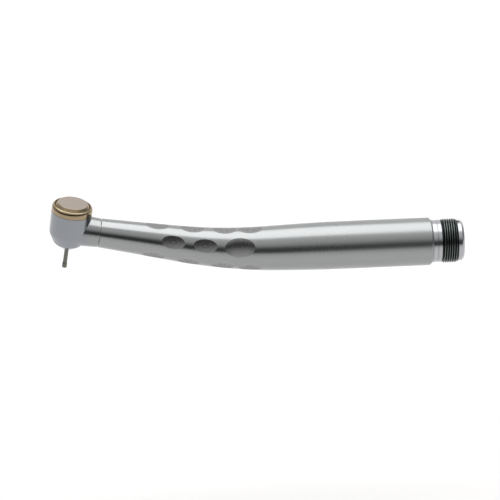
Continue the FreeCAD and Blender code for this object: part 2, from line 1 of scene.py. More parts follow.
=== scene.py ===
# %% [markdown]
# # A dental high speed handpiece
# The object is a slim metal tool a dentist holds like a pen. Compressed air runs through the bent handle and
# spins a tiny turbine in the head, which turns the bur. Four finishes make its look: satin chrome on the
# handle and head, a polished gold-coloured hard coating on the head's cap, a matte rose coating on the push
# button, and a fine thread at the rear whose dark colour is painted reflection of its polished flanks. The
# measured model is loaded first, and every piece made here is placed by the same measures, in metres.

import math

import bmesh
import bpy
from mathutils import Matrix, Vector


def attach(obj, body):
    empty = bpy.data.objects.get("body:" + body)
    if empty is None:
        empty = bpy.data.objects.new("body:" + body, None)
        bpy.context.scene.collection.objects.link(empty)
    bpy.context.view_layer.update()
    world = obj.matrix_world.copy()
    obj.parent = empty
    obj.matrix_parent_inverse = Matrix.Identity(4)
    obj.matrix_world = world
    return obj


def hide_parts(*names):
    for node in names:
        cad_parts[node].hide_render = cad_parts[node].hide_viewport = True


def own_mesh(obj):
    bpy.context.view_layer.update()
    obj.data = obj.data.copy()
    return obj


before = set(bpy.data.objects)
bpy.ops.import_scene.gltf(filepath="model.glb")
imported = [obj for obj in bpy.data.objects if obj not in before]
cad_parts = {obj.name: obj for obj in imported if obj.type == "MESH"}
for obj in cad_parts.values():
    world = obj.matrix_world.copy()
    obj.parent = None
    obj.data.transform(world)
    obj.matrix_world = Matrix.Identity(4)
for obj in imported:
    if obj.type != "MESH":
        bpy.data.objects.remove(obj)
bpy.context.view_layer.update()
scene = bpy.context.scene
MM = 0.001

# %% [markdown]
# ## The camera
# A long lens from about 70 cm gives the flat, catalogue-like drawing of a tool on a table. The camera looks
# down by about 26 degrees, a little from the head's side, and is rolled by about a degree.

# %% Camera
LENS_MM = 188.38
DISTANCE = 0.7215
AZIMUTH, ELEVATION, ROLL = (math.radians(angle) for angle in (-3.397, 26.5, -0.938))
TARGET = Vector((-0.05891, 0, -0.00034))

backward = Vector(
    (math.sin(AZIMUTH) * math.cos(ELEVATION), -math.cos(AZIMUTH) * math.cos(ELEVATION), math.sin(ELEVATION))
)
level_right = Vector((math.cos(AZIMUTH), math.sin(AZIMUTH), 0))
level_up = backward.cross(level_right)
right = level_right * math.cos(ROLL) + level_up * math.sin(ROLL)
up = level_up * math.cos(ROLL) - level_right * math.sin(ROLL)
lens = bpy.data.cameras.new("long_lens")
lens.lens = LENS_MM
lens.sensor_width = 36.0
lens.clip_start = 0.01
camera = bpy.data.objects.new("camera", lens)
scene.collection.objects.link(camera)
camera.matrix_world = Matrix.Translation(TARGET + backward * DISTANCE) @ Matrix(
    (right, up, backward)
).transposed().to_4x4()
scene.camera = camera
print("camera at", [round(v, 4) for v in camera.matrix_world.translation])

# %% [markdown]
# ## Where things are
# The handle's centreline is a straight rear, one gentle bend and a straight neck that climbs to the head.
# The head stands at the neck's end with its own tilted axis. These few numbers place everything else, so
# each is written once, and small functions turn "so far along the handle" or "so high in the head" into
# points in space.

# %% Path of the handle and the head's axis
ARC_START, BEND_RADIUS, NECK_LENGTH = 52.0, 137.8, 29.8
BEND, HEAD_TILT = math.radians(11.3), math.radians(9.6)
ARC_LENGTH = BEND_RADIUS * BEND
SEAM = ARC_START + ARC_LENGTH + 21.71


def on_path(run):
    """Centre and direction towards the head, run millimetres from the rear rim."""
    if run <= ARC_START:
        return Vector((-run, 0, 0)), Vector((-1, 0, 0))
    turn = min((run - ARC_START) / BEND_RADIUS, BEND)
    ahead = Vector((-math.cos(turn), 0, math.sin(turn)))
    centre = Vector((-ARC_START - BEND_RADIUS * math.sin(turn), 0, BEND_RADIUS * (1 - math.cos(turn))))
    return centre + ahead * max(0.0, run - ARC_START - ARC_LENGTH), ahead


def run_of(point):
    """How far along the path a point in millimetres is."""
    if point.x > -ARC_START:
        return -point.x
    turn = math.atan2(-ARC_START - point.x, BEND_RADIUS - point.z)
    if turn <= BEND:
        return ARC_START + BEND_RADIUS * turn
    centre, ahead = on_path(ARC_START + ARC_LENGTH)
    return ARC_START + ARC_LENGTH + (point - centre).dot(ahead)


head_centre = on_path(ARC_START + ARC_LENGTH + NECK_LENGTH)[0]
HEAD_PLACE = Matrix.Translation(head_centre) @ Matrix.Rotation(HEAD_TILT, 4, "Y")
REAR_PLACE = Matrix.Rotation(math.radians(90), 4, "Y")
print("head centre mm", [round(v, 3) for v in head_centre], "seam at", round(SEAM, 2))

# %% [markdown]
# ## Materials
# Each finish is one node material. A single helper adds a node with its settings, values and links, and
# another turns a familiar sRGB hex colour into the linear numbers that a renderer works in. Patterns are
# sized in millimetres from Object coordinates, so grain stays the same size on every piece.

# %% Helpers for node trees and colours
def add(tree, kind, settings=None, values=None, links=None):
    """Add one node, set its properties and its sockets' values, and link outputs into its inputs."""
    node = tree.nodes.new(kind)
    for name, value in (settings or {}).items():
        setattr(node, name, value)
    for name, value in (values or {}).items():
        node.inputs[name].default_value = value
    for name, source in (links or {}).items():
        tree.links.new(source, node.inputs[name])
    return node


def linear(text):
    """sRGB hex to linear RGBA."""
    parts = [int(text[i : i + 2], 16) / 255 for i in (1, 3, 5)]
    return [v / 12.92 if v <= 0.04045 else ((v + 0.055) / 1.055) ** 2.4 for v in parts] + [1.0]


RELIEF = 0.01 * MM


def metal(name, light, dark, roughness, spread, grain_mm, bump, metallic=1.0, marks=0.0, rear=0.0, crest=None,
          stub=None, **extra):
    """A metal with fine grain: two close colours, a spread of roughness, and a shallow bump.

    marks is the depth step in millimetres between cutter lines, rear the roughness gained towards the rear,
    crest the painted highlight colour on a thread's crests, and stub the colour past the head's barrel.
    """
    material = bpy.data.materials.new(name)
    material.use_nodes = True
    tree = material.node_tree
    tree.nodes.clear()
    place = add(tree, "ShaderNodeTexCoord")
    grain = add(tree, "ShaderNodeTexNoise",
                values={"Scale": 1 / (grain_mm * MM), "Detail": 3.0, "Roughness": 0.6},
                links={"Vector": place.outputs["Object"]})
    cloud = add(tree, "ShaderNodeTexNoise", values={"Scale": 160.0, "Detail": 2.0},
                links={"Vector": place.outputs["Object"]})
    both = add(tree, "ShaderNodeMath", {"operation": "MULTIPLY_ADD"}, {1: 0.5},
               {0: cloud.outputs["Fac"], 2: grain.outputs["Fac"]})
    colour = add(tree, "ShaderNodeMix", {"data_type": "RGBA"}, {"A": linear(dark), "B": linear(light)},
                 {"Factor": both.outputs[0]})
    rough = add(tree, "ShaderNodeMapRange",
                values={"To Min": roughness - spread, "To Max": roughness + spread},
                links={"Value": grain.outputs["Fac"]}).outputs["Result"]
    apart = add(tree, "ShaderNodeSeparateXYZ", links={"Vector": place.outputs["Object"]})
    if rear:
        far = add(tree, "ShaderNodeMapRange", values={"From Min": -0.1, "From Max": -0.01, "To Max": rear},
                  links={"Value": apart.outputs["X"]})
        rough = add(tree, "ShaderNodeMath", links={0: rough, 1: far.outputs["Result"]}).outputs[0]
    height, shade = grain.outputs["Fac"], colour.outputs["Result"]
    if marks:
        cut = add(tree, "ShaderNodeAttribute", {"attribute_name": "cut_depth"})
        phase = add(tree, "ShaderNodeMath", {"operation": "MULTIPLY"}, {1: 2 * math.pi / marks},
                    {0: cut.outputs["Fac"]})
        wave = add(tree, "ShaderNodeMath", {"operation": "SINE"}, links={0: phase.outputs[0]})
        line = add(tree, "ShaderNodeMapRange", values={"From Min": 0.2, "From Max": 1.0, "To Max": 0.4},
                   links={"Value": wave.outputs[0]})
        shade = add(tree, "ShaderNodeMix", {"data_type": "RGBA"}, {"B": linear("#C4C4C4")},
                    {"Factor": line.outputs["Result"], "A": shade}).outputs["Result"]
        height = add(tree, "ShaderNodeMath", {"operation": "MULTIPLY_ADD"}, {1: 1.2},
                     {0: wave.outputs[0], 2: height}).outputs[0]
    # Painted highlight: the thread's crests are painted paler, where they would catch the light.
    if crest:
        ridge = add(tree, "ShaderNodeAttribute", {"attribute_name": "ridge"})
        top = add(tree, "ShaderNodeMapRange", values={"From Min": 0.7, "From Max": 0.97},
                  links={"Value": ridge.outputs["Fac"]})
        shade = add(tree, "ShaderNodeMix", {"data_type": "RGBA"}, {"B": linear(crest)},
                    {"Factor": top.outputs["Result"], "A": shade}).outputs["Result"]
    if stub:
        past = add(tree, "ShaderNodeMapRange", values={"From Min": -0.104, "From Max": -0.102},
                   links={"Value": apart.outputs["X"]})
        shade = add(tree, "ShaderNodeMix", {"data_type": "RGBA"}, {"B": linear(stub)},
                    {"Factor": past.outputs["Result"], "A": shade}).outputs["Result"]
    relief = add(tree, "ShaderNodeBump", values={"Strength": bump, "Distance": RELIEF},
                 links={"Height": height})
    shader = add(tree, "ShaderNodeBsdfPrincipled", values={"Metallic": metallic, **extra},
                 links={"Base Color": shade, "Roughness": rough,
                        "Normal": relief.outputs["Normal"]})
    add(tree, "ShaderNodeOutputMaterial", links={"Surface": shader.outputs["BSDF"]})
    return material


# Satin chrome gives the handle wide soft stripes, a little duller towards the rear. The head has the same
# plating with a cooler cast on its barrel. Milled steel is darker and shows cutter lines. Bright chrome and
# the gold coating mirror the room, and the rose coating scatters it. The thread's colours are painted light:
# its base is painted dark as a painted reflection in its polished flanks, and its crests carry a painted
# highlight. The rest are plain workshop finishes for the inner pieces.
satin_chrome = metal("satin_chrome_plate", "#9D9F9F", "#969898", 0.21, 0.015, 0.6, 0.02, rear=0.09)
head_chrome = metal("satin_chrome_head", "#94979C", "#8E9196", 0.23, 0.02, 0.6, 0.03, stub="#989A9A")
milled = metal("milled_satin_steel", "#878788", "#7B7B7D", 0.27, 0.05, 0.2, 0.15, marks=0.12)
bright_chrome = metal("turned_bright_chrome", "#B7B8BB", "#A2A3A7", 0.22, 0.04, 0.15, 0.15)
gold = metal("gold_hard_coating", "#A69579", "#917F66", 0.07, 0.03, 0.2, 0.05)
rose = metal("matte_rose_coating", "#A0948A", "#968B82", 0.55, 0.05, 0.12, 0.3, metallic=0.35)
# The thread's two base colours are painted dark, a painted reflection of its polished flanks; its crests get
# a painted highlight.
thread_steel = metal("thread_steel_painted_dark_reflection", "#23292A", "#141818", 0.3, 0.06, 0.2, 0.2, crest="#8F9893")
ground_steel = metal("ground_steel", "#8C8D8A", "#75766F", 0.3, 0.06, 0.15, 0.2)
bur_steel = metal("dull_bur_steel", "#74746D", "#62625B", 0.34, 0.06, 0.12, 0.2)
spring_steel = metal("drawn_spring_steel", "#9A9B9E", "#808286", 0.25, 0.05, 0.1, 0.1)
wheel_alloy = metal("machined_light_alloy", "#C8CACC", "#B0B2B5", 0.3, 0.05, 0.15, 0.1)
plated_brass = metal("plated_brass", "#C9AC6E", "#AD9158", 0.28, 0.05, 0.15, 0.1)
cage_polymer = metal("machined_polymer", "#9A6B35", "#7C5226", 0.5, 0.05, 0.1, 0.1, metallic=0.0)
seal_rubber = metal("black_seal_rubber", "#1B1B1B", "#101010", 0.6, 0.08, 0.1, 0.2, metallic=0.0)

# %% [markdown]
# ## The dimpled handle
# The real handle is a drawn and polished tube, bent, then milled with a ball cutter in five rows of shallow
# finger grips. Three things could make it: a lofted surface with vertices pushed in, a sculpt, or the same
# operations as the workshop's. The last keeps the grips' rims crisp, so a Geometry Nodes tree sweeps a circle
# along the bent path, puts one cutter ball on each marked point, and takes the balls and the bore away.

# %% Radius along the handle and the places of the grips
REAR_EDGE, REAR_BEVEL, SEAM_GAP, SEAM_BEVEL = 8.6, 0.7, 0.22, 0.12
BEND_END = ARC_START + ARC_LENGTH
STATIONS = [
    (REAR_EDGE, 6.58, 4.9), (20.0, 6.6, 4.9), (31.0, 6.59, 4.85), (40.0, 6.53, 4.8), (ARC_START, 6.2, 4.6),
    (ARC_START + 0.25 * ARC_LENGTH, 5.89, 4.3), (ARC_START + 0.5 * ARC_LENGTH, 5.56, 4.05),
    (ARC_START + 0.75 * ARC_LENGTH, 5.25, 3.8), (BEND_END, 4.93, 3.5), (BEND_END + 7, 4.6, 3.2),
    (BEND_END + 14, 4.29, 2.98), (SEAM, 3.99, 2.88),
]
OUTER = [(run, outer) for run, outer, bore in STATIONS]
BORE = [(run, bore) for run, outer, bore in STATIONS]
FINGER, THUMB = (10.6, 0.49), (7.8, 1.14)


def smooth_between(table, run):
    """A cubic through the table's points with slopes averaged from its neighbours."""
    count = len(table)
    spot = max(0, min(count - 2, sum(1 for place, _ in table if place <= run) - 1))

    def slope(i):
        low, high = max(0, i - 1), min(count - 1, i + 1)
        return (table[high][1] - table[low][1]) / (table[high][0] - table[low][0])

    (x0, y0), (x1, y1) = table[spot], table[spot + 1]
    width = x1 - x0
    t = (run - x0) / width
    return (
        y0 * (1 + 2 * t) * (1 - t) ** 2
        + slope(spot) * width * t * (1 - t) ** 2
        + y1 * t * t * (3 - 2 * t)
        + slope(spot + 1) * width * t * t * (t - 1)
    )


def handle_radius(run):
    rear, front = REAR_BEVEL - (run - REAR_EDGE), run - (SEAM - SEAM_GAP - SEAM_BEVEL)
    return smooth_between(OUTER, run) - max(0.0, rear, front)


def bend_run(share):
    return ARC_START + ARC_LENGTH * share


SIDE_ROW = [(BEND_END + 2.0, FINGER), (bend_run(0.745), FINGER), (bend_run(0.383), THUMB)]
LONG_ROW = [(BEND_END + 6.7, FINGER), (bend_run(0.89), FINGER), (bend_run(0.55), FINGER),
            (bend_run(0.277), FINGER)]
balls = []
for angle, row in ((90, LONG_ROW), (27, SIDE_ROW), (153, SIDE_ROW), (-38, LONG_ROW), (-142, LONG_ROW)):
    for run, (ball, depth) in row:
        centre, ahead = on_path(run)
        above = Vector((ahead.z, 0, -ahead.x))
        outward = Vector((0, math.cos(math.radians(angle)), 0)) + above * math.sin(math.radians(angle))
        balls.append((centre + outward * (smooth_between(OUTER, run) + ball - depth), ball))
print("finger grips", len(balls))

# %% The path as a curve, and the ball centres as loose points
def path_curve(name, runs, radius_at):
    """A curve object through the path at the given runs, each point carrying its radius."""
    path = bpy.data.curves.new(name, "CURVE")
    path.dimensions = "3D"
    line = path.splines.new("POLY")
    line.points.add(len(runs) - 1)
    for point, run in zip(line.points, runs):
        point.co = [*(on_path(run)[0] * MM), 1]
        point.radius = radius_at(run)
    thing = bpy.data.objects.new(name, path)
    scene.collection.objects.link(thing)
    return thing


STEP = 0.5
FRONT_EDGE = SEAM - SEAM_GAP
count = int((FRONT_EDGE - REAR_EDGE - REAR_BEVEL) / STEP)
flat = FRONT_EDGE - SEAM_BEVEL - REAR_EDGE - REAR_BEVEL
stops = [REAR_EDGE + REAR_BEVEL + i * flat / count for i in range(count + 1)]
handle = path_curve("handle_sweep", [REAR_EDGE] + stops + [FRONT_EDGE], handle_radius)
bore = path_curve("bore_sweep", [REAR_EDGE - 1] + stops[::2] + [SEAM + 1], lambda run: smooth_between(
    BORE, min(max(run, REAR_EDGE), SEAM)))
marks = bpy.data.meshes.new("ball_places")
marks.from_pydata([centre * MM for centre, ball in balls], [], [])
marks.attributes.new("ball", "FLOAT", "POINT").data.foreach_set("value", [ball for centre, ball in balls])
ball_marks = bpy.data.objects.new("ball_places", marks)
scene.collection.objects.link(ball_marks)

# %% Geometry Nodes: sweep, bore and ball cuts
def new_tree(name, sockets):
    """A geometry tree with named inputs and one geometry output."""
    tree = bpy.data.node_groups.new(name, "GeometryNodeTree")
    tree.interface.new_socket("Geometry", in_out="OUTPUT", socket_type="NodeSocketGeometry")
    for label, kind in sockets:
        tree.interface.new_socket(label, in_out="INPUT", socket_type=kind)
    return tree, tree.nodes.new("NodeGroupInput"), tree.nodes.new("NodeGroupOutput")


def grow(thing, tree, values):
    """Run the tree on the object and return the result as a plain mesh."""
    modifier = thing.modifiers.new(tree.name, "NODES")
    modifier.node_group = tree
    for item in tree.interface.items_tree:
        if item.in_out == "INPUT" and item.name in values:
            modifier[item.identifier] = values[item.name]
    bpy.context.view_layer.update()
    ready = thing.evaluated_get(bpy.context.evaluated_depsgraph_get())
    mesh = bpy.data.meshes.new_from_object(ready)
    thing.modifiers.remove(modifier)
    return mesh


sleeve, given, result = new_tree("dimpled_sleeve", [
    ("Geometry", "NodeSocketGeometry"), ("Bore", "NodeSocketObject"), ("Ball places", "NodeSocketObject"),
    ("Unit", "NodeSocketFloat"), ("Sides", "NodeSocketInt"), ("Finish", "NodeSocketMaterial")])
ring = add(sleeve, "GeometryNodeCurvePrimitiveCircle", values={"Radius": MM},
           links={"Resolution": given.outputs["Sides"]})
width = add(sleeve, "GeometryNodeInputRadius")
outside = add(sleeve, "GeometryNodeCurveToMesh", values={"Fill Caps": True},
              links={"Curve": given.outputs["Geometry"], "Profile Curve": ring.outputs["Curve"],
                     "Scale": width.outputs["Radius"]})
drill = add(sleeve, "GeometryNodeObjectInfo", links={"Object": given.outputs["Bore"]})
inside = add(sleeve, "GeometryNodeCurveToMesh", values={"Fill Caps": True},
             links={"Curve": drill.outputs["Geometry"], "Profile Curve": ring.outputs["Curve"],
                    "Scale": width.outputs["Radius"]})
places = add(sleeve, "GeometryNodeObjectInfo", links={"Object": given.outputs["Ball places"]})
cutter = add(sleeve, "GeometryNodeMeshUVSphere", values={"Segments": 384, "Rings": 192},
             links={"Radius": given.outputs["Unit"]})
own_size = add(sleeve, "GeometryNodeInputNamedAttribute", {"data_type": "FLOAT"}, {"Name": "ball"})
cutters = add(sleeve, "GeometryNodeInstanceOnPoints",
              links={"Points": places.outputs["Geometry"], "Instance": cutter.outputs["Mesh"],
                     "Scale": own_size.outputs["Attribute"]})
cut = add(sleeve, "GeometryNodeMeshBoolean", {"operation": "DIFFERENCE", "solver": "MANIFOLD"},
          links={"Mesh 1": outside.outputs["Mesh"], "Mesh 2": cutters.outputs["Instances"]})
sleeve.links.new(inside.outputs["Mesh"], cut.inputs["Mesh 2"])
soft = add(sleeve, "GeometryNodeSetShadeSmooth", links={"Geometry": cut.outputs["Mesh"]})
whole = add(sleeve, "GeometryNodeRealizeInstances", links={"Geometry": soft.outputs["Geometry"]})
coat = add(sleeve, "GeometryNodeSetMaterial", links={"Geometry": whole.outputs["Geometry"],
                                                     "Material": given.outputs["Finish"]})
sleeve.links.new(coat.outputs["Geometry"], result.inputs["Geometry"])
handle_mesh = grow(handle, sleeve, {"Bore": bore, "Ball places": ball_marks, "Unit": MM,
                                    "Sides": 144, "Finish": satin_chrome})
for helper in (handle, bore, ball_marks):
    bpy.data.objects.remove(helper)
print("handle faces", len(handle_mesh.polygons))

# %% True normals, the grips' own finish, and the depth of cut for their tool marks
def dress_handle(mesh):
    mesh.materials.clear()
    mesh.materials.append(satin_chrome)
    mesh.materials.append(milled)
    normals = []
    depth = mesh.attributes.new("cut_depth", "FLOAT", "POINT")
    near = []
    for corner in mesh.vertices:
        spot = corner.co / MM
        run = run_of(spot)
        centre, ahead = on_path(run)
        arm = spot - centre
        arm -= ahead * arm.dot(ahead)
        near.append((run, ahead, arm))
        depth.data[corner.index].value = smooth_between(OUTER, min(max(run, REAR_EDGE), SEAM)) - arm.length
    for face in mesh.polygons:
        middle = face.center / MM
        centre, ball = min(balls, key=lambda b: abs((b[0] - middle).length - b[1]))
        place, along = on_path(run_of(middle))
        reach = middle - place
        reach -= along * reach.dot(along)
        sunk = smooth_between(OUTER, min(max(run_of(middle), REAR_EDGE), SEAM)) - reach.length
        grip = abs((centre - middle).length - ball) < 0.02 and sunk > 0.004
        face.material_index = 1 if grip else 0
        run, ahead, arm = near[face.vertices[0]]
        inner = arm.length < smooth_between(BORE, min(max(run, REAR_EDGE), SEAM)) + 0.1
        for index in face.vertices:
            run, ahead, arm = near[index]
            if grip:
                normals.append((centre - mesh.vertices[index].co / MM).normalized())
            elif run < REAR_EDGE + REAR_BEVEL - 0.01 or run > FRONT_EDGE - SEAM_BEVEL + 0.01 or inner:
                normals.append(face.normal.copy() if not inner else -arm.normalized())
            else:
                slope = (smooth_between(OUTER, run + 0.2) - smooth_between(OUTER, run - 0.2)) / 0.4
                normals.append((arm.normalized() - ahead * slope).normalized())
    mesh.normals_split_custom_set(normals)
    ends = [face.center.x / MM for face in mesh.polygons if face.material_index]
    print("grip faces", len(ends), "from", round(min(ends), 1), "to", round(max(ends), 1), "mm")


dress_handle(handle_mesh)
satin_handle = bpy.data.objects.new("satin_handle", handle_mesh)
scene.collection.objects.link(satin_handle)
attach(satin_handle, "body")
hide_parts("handle_shell")

# %% [markdown]
# ## Lathe-turned pieces
# The cap ring, button, collar, rim and bur were turned on a lathe, so each is a half outline spun about its
# axis. Real edges are never knife sharp: the outline's corners are rounded first, because the thin bright
# line on a rounded edge is what makes metal look like metal.

# %% Helpers that round an outline and spin it
def rounded(corners, radius, steps=4):
    """Round every corner of a closed outline, except those on the axis."""
    points = []
    count = len(corners)
    for index, here in enumerate(corners):
        before, after = corners[index - 1], corners[(index + 1) % count]
        size = here[2] if len(here) > 2 else radius
        here = Vector(here[:2])
        one, two = Vector(before[:2]) - here, Vector(after[:2]) - here
        if here.x < 1e-6 or size <= 0 or one.length == 0 or two.length == 0:
            points.append(here)
            continue
        half = one.angle(two) / 2
        reach = min(size / math.tan(half), one.length * 0.45, two.length * 0.45)
        start, end = here + one.normalized() * reach, here + two.normalized() * reach
        for step in range(steps + 1):
            t = step / steps
            points.append(start * (1 - t) ** 2 + here * 2 * t * (1 - t) + end * t * t)
    return points


CRISP = 35


def spun(name, outline, place, material, sides=128, crisp=CRISP):
    """Spin a closed outline of (radius, height) in millimetres about the place's Z axis."""
    mesh = bpy.data.meshes.new(name)
    builder = bmesh.new()
    rings = []
    for radius, height in outline:
        if radius < 1e-6:
            rings.append([builder.verts.new((0, 0, height))])
        else:
            rings.append([
                builder.verts.new((radius * math.cos(turn), radius * math.sin(turn), height))
                for turn in (2 * math.pi * i / sides for i in range(sides))
            ])
    for index, ring_a in enumerate(rings):
        ring_b = rings[(index + 1) % len(rings)]
        if len(ring_a) == 1 and len(ring_b) == 1:
            continue
        for i in range(sides):
            j = (i + 1) % sides
            corners = [ring_a[i % len(ring_a)], ring_a[j % len(ring_a)], ring_b[j % len(ring_b)],
                       ring_b[i % len(ring_b)]]
            builder.faces.new(list(dict.fromkeys(corners)))
    bmesh.ops.recalc_face_normals(builder, faces=builder.faces)
    builder.transform(Matrix.Scale(MM, 4) @ place)
    builder.to_mesh(mesh)
    builder.free()
    mesh.shade_smooth()
    mesh.set_sharp_from_angle(angle=math.radians(crisp))
    mesh.materials.append(material)
    thing = bpy.data.objects.new(name, mesh)
    scene.collection.objects.link(thing)
    return thing


def stands_for(thing, body, slot, *nodes):
    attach(thing, body)
    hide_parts(*nodes)


# %% Cap ring and push button
RING_RADIUS, RING_TOP, LIP_RADIUS = 5.6, 7.2, 4.94
ROLL_HEIGHT, ROLL_STEPS = 1.1, 16
ROLL_WIDTH = RING_RADIUS - LIP_RADIUS
roll = [
    (LIP_RADIUS + ROLL_WIDTH * math.cos(turn), RING_TOP - ROLL_HEIGHT * (1 - math.sin(turn)), 0)
    for turn in (0.5 * math.pi * step / ROLL_STEPS for step in range(ROLL_STEPS + 1))
]
gold_ring = spun("gold_cap_ring", rounded(
    [(5.3, 5.31), (RING_RADIUS, 5.31, 0.06)] + roll + [(4.88, 7.1), (4.88, 6.8), (5.3, 6.8)], 0.03, 6),
    HEAD_PLACE, gold)
stands_for(gold_ring, "body", "gold_coating", "cap_ring")
button = spun("push_button_cap", rounded([
    (0, 7.82), (4.1, 7.82, 0.1), (4.7, 7.0, 0.12), (4.7, 6.75), (4.99, 6.75), (4.99, 6.3), (4.0, 6.3),
    (4.0, 7.15), (1.0, 7.15), (1.0, 5.7), (0, 5.7)], 0.03, 5), HEAD_PLACE, gold)
button.data.materials.append(rose)
for face in button.data.polygons:
    middle = HEAD_PLACE.inverted() @ (face.center / MM)
    if middle.z > 7.81 and math.hypot(middle.x, middle.y) < 4.05:
        face.material_index = 1
stands_for(button, "button", "rose_button", "push_button")

# %% Bur
bur = spun("bur_rod", rounded([
    (0, 2.2), (0.8, 2.2, 0.15), (0.8, -5.9, 0.1), (0.58, -6.5, 0.3), (0.58, -10.1, 0.2), (0.67, -10.55, 0.15),
    (0.67, -11.75, 0.16), (0, -11.75)], 0.05), HEAD_PLACE, bur_steel, 48)
stands_for(bur, "bur_body", "bur_steel", "bur")

# %% [markdown]
# ## Springs
# Two springs of round wire push the button and the chuck back. A spiral swept with a small circle is how such
# wire is wound.

# %% Geometry Nodes: a wound wire
wound, given, result = new_tree("wound_spring", [
    ("Coil", "NodeSocketFloat"), ("Wire", "NodeSocketFloat"), ("Rise", "NodeSocketFloat"),
    ("Turns", "NodeSocketFloat"), ("Finish", "NodeSocketMaterial")])
spiral = add(wound, "GeometryNodeCurveSpiral", values={"Resolution": 48},
             links={"Rotations": given.outputs["Turns"], "Start Radius": given.outputs["Coil"],
                    "End Radius": given.outputs["Coil"], "Height": given.outputs["Rise"]})
section = add(wound, "GeometryNodeCurvePrimitiveCircle", values={"Resolution": 16},
              links={"Radius": given.outputs["Wire"]})
wire = add(wound, "GeometryNodeCurveToMesh", values={"Fill Caps": True},
           links={"Curve": spiral.outputs["Curve"], "Profile Curve": section.outputs["Curve"]})
even = add(wound, "GeometryNodeSetShadeSmooth", links={"Geometry": wire.outputs["Mesh"]})
solid = add(wound, "GeometryNodeRealizeInstances", links={"Geometry": even.outputs["Geometry"]})
plated = add(wound, "GeometryNodeSetMaterial", links={"Geometry": solid.outputs["Geometry"],
                                                      "Material": given.outputs["Finish"]})
wound.links.new(plated.outputs["Geometry"], result.inputs["Geometry"])


def coil_spring(name, coil, wire, foot, top, turns, travel):
    """A spring standing on foot and ending just under top, and the share of its length left when pressed."""
    rise = top - foot - 2 * wire
    holder = bpy.data.objects.new(name + "_seed", bpy.data.meshes.new(name + "_seed"))
    scene.collection.objects.link(holder)
    mesh = grow(holder, wound, {"Coil": coil, "Wire": wire, "Rise": rise, "Turns": turns,
                                "Finish": spring_steel})
    bpy.data.objects.remove(holder)
    mesh.materials.clear()
    mesh.materials.append(spring_steel)
    mesh.polygons.foreach_set("material_index", [0] * len(mesh.polygons))
    mesh.transform(Matrix.Scale(MM, 4) @ HEAD_PLACE @ Matrix.Translation((0, 0, foot + wire)))
    thing = bpy.data.objects.new(name, mesh)
    scene.collection.objects.link(thing)
    print(name, "faces", len(mesh.polygons), "length", round(top - foot, 2))
    return thing, (top - foot - travel) / (top - foot) - 0.01


# %% The two springs
SPRINGS = [
    ("button_return_spring", 2.6, 0.17, 5.46, 7.13, 2.0, 0.6, "body", "button_press", "button_spring"),
    ("chuck_closing_spring", 0.86, 0.12, 2.61, 3.78, 2.5, 0.37, "rotor", "chuck_release", "chuck_spring"),
]
for name, coil, wire, foot, top, turns, travel, body, joint, node in SPRINGS:
    spring, keep = coil_spring(name, coil, wire, foot, top, turns, travel)
    stands_for(spring, body, "spring_wire", node)
    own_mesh(spring)

# %% [markdown]
# ## The hose thread
# The rear ends in a fine thread of 40 turns to the inch. Stacked rings would look almost right, but a real
# thread is one groove that winds round, so its lines lean. A Geometry Nodes tree lays out a grid, wraps it
# round the axis and shears it by one pitch per turn: the rows then follow the groove, and the crest stays
# sharp however few rows there are.

# %% Geometry Nodes: one winding groove
THREAD = {"Start": 1.6, "End": 6.0, "Pitch": 0.635, "Root": 5.75, "Crest": 6.145}
ROWS_PER_TURN, AROUND = 8, 160
turns = (THREAD["End"] - THREAD["Start"]) / THREAD["Pitch"]
rows = int(math.ceil(turns + 2) * ROWS_PER_TURN) + 1

winding, given, result = new_tree("winding_thread", [
    ("Geometry", "NodeSocketGeometry"), ("Rows", "NodeSocketInt"), ("Around", "NodeSocketInt"),
    ("Start", "NodeSocketFloat"), ("End", "NodeSocketFloat"), ("Pitch", "NodeSocketFloat"),
    ("Root", "NodeSocketFloat"), ("Crest", "NodeSocketFloat"), ("Finish", "NodeSocketMaterial")])


def sum_of(tree, kind, *terms, clamp=False):
    """One math node; each term is a number or an output socket."""
    node = add(tree, "ShaderNodeMath", {"operation": kind, "use_clamp": clamp})
    for index, term in enumerate(terms):
        if isinstance(term, (int, float)):
            node.inputs[index].default_value = term
        else:
            tree.links.new(term, node.inputs[index])
    return node.outputs[0]


grid = add(winding, "GeometryNodeMeshGrid", values={"Size X": 1.0, "Size Y": 1.0},
           links={"Vertices X": given.outputs["Rows"], "Vertices Y": given.outputs["Around"]})
index = add(winding, "GeometryNodeInputIndex").outputs["Index"]
around = given.outputs["Around"]
row = sum_of(winding, "FLOOR", sum_of(winding, "DIVIDE", sum_of(winding, "ADD", index, 0.5), around))
column = sum_of(winding, "SUBTRACT", index, sum_of(winding, "MULTIPLY", row, around))
share = sum_of(winding, "DIVIDE", column, sum_of(winding, "SUBTRACT", around, 1.0))
turned_rows = sum_of(winding, "DIVIDE", row, float(ROWS_PER_TURN))
run = sum_of(winding, "ADD", sum_of(winding, "MULTIPLY", sum_of(
    winding, "ADD", turned_rows, sum_of(winding, "SUBTRACT", share, 1.0)), given.outputs["Pitch"]),
    given.outputs["Start"])
held = sum_of(winding, "MAXIMUM", sum_of(winding, "MINIMUM", run, given.outputs["End"]),
              given.outputs["Start"])
wave = sum_of(winding, "PINGPONG", turned_rows, 0.5)
height = sum_of(winding, "MULTIPLY", wave, 2.0)
lead_in = sum_of(winding, "DIVIDE", sum_of(winding, "SUBTRACT", held, given.outputs["Start"]),
                 given.outputs["Pitch"], clamp=True)
lead_out = sum_of(winding, "DIVIDE", sum_of(winding, "SUBTRACT", given.outputs["End"], held), 0.3, clamp=True)
height = sum_of(winding, "MULTIPLY", sum_of(winding, "MULTIPLY", height, lead_in), lead_out)
radius = sum_of(winding, "ADD", given.outputs["Root"], sum_of(
    winding, "MULTIPLY", height, sum_of(winding, "SUBTRACT", given.outputs["Crest"], given.outputs["Root"])))
reach = sum_of(winding, "MULTIPLY", radius, MM)
turn = sum_of(winding, "MULTIPLY", share, 2 * math.pi)
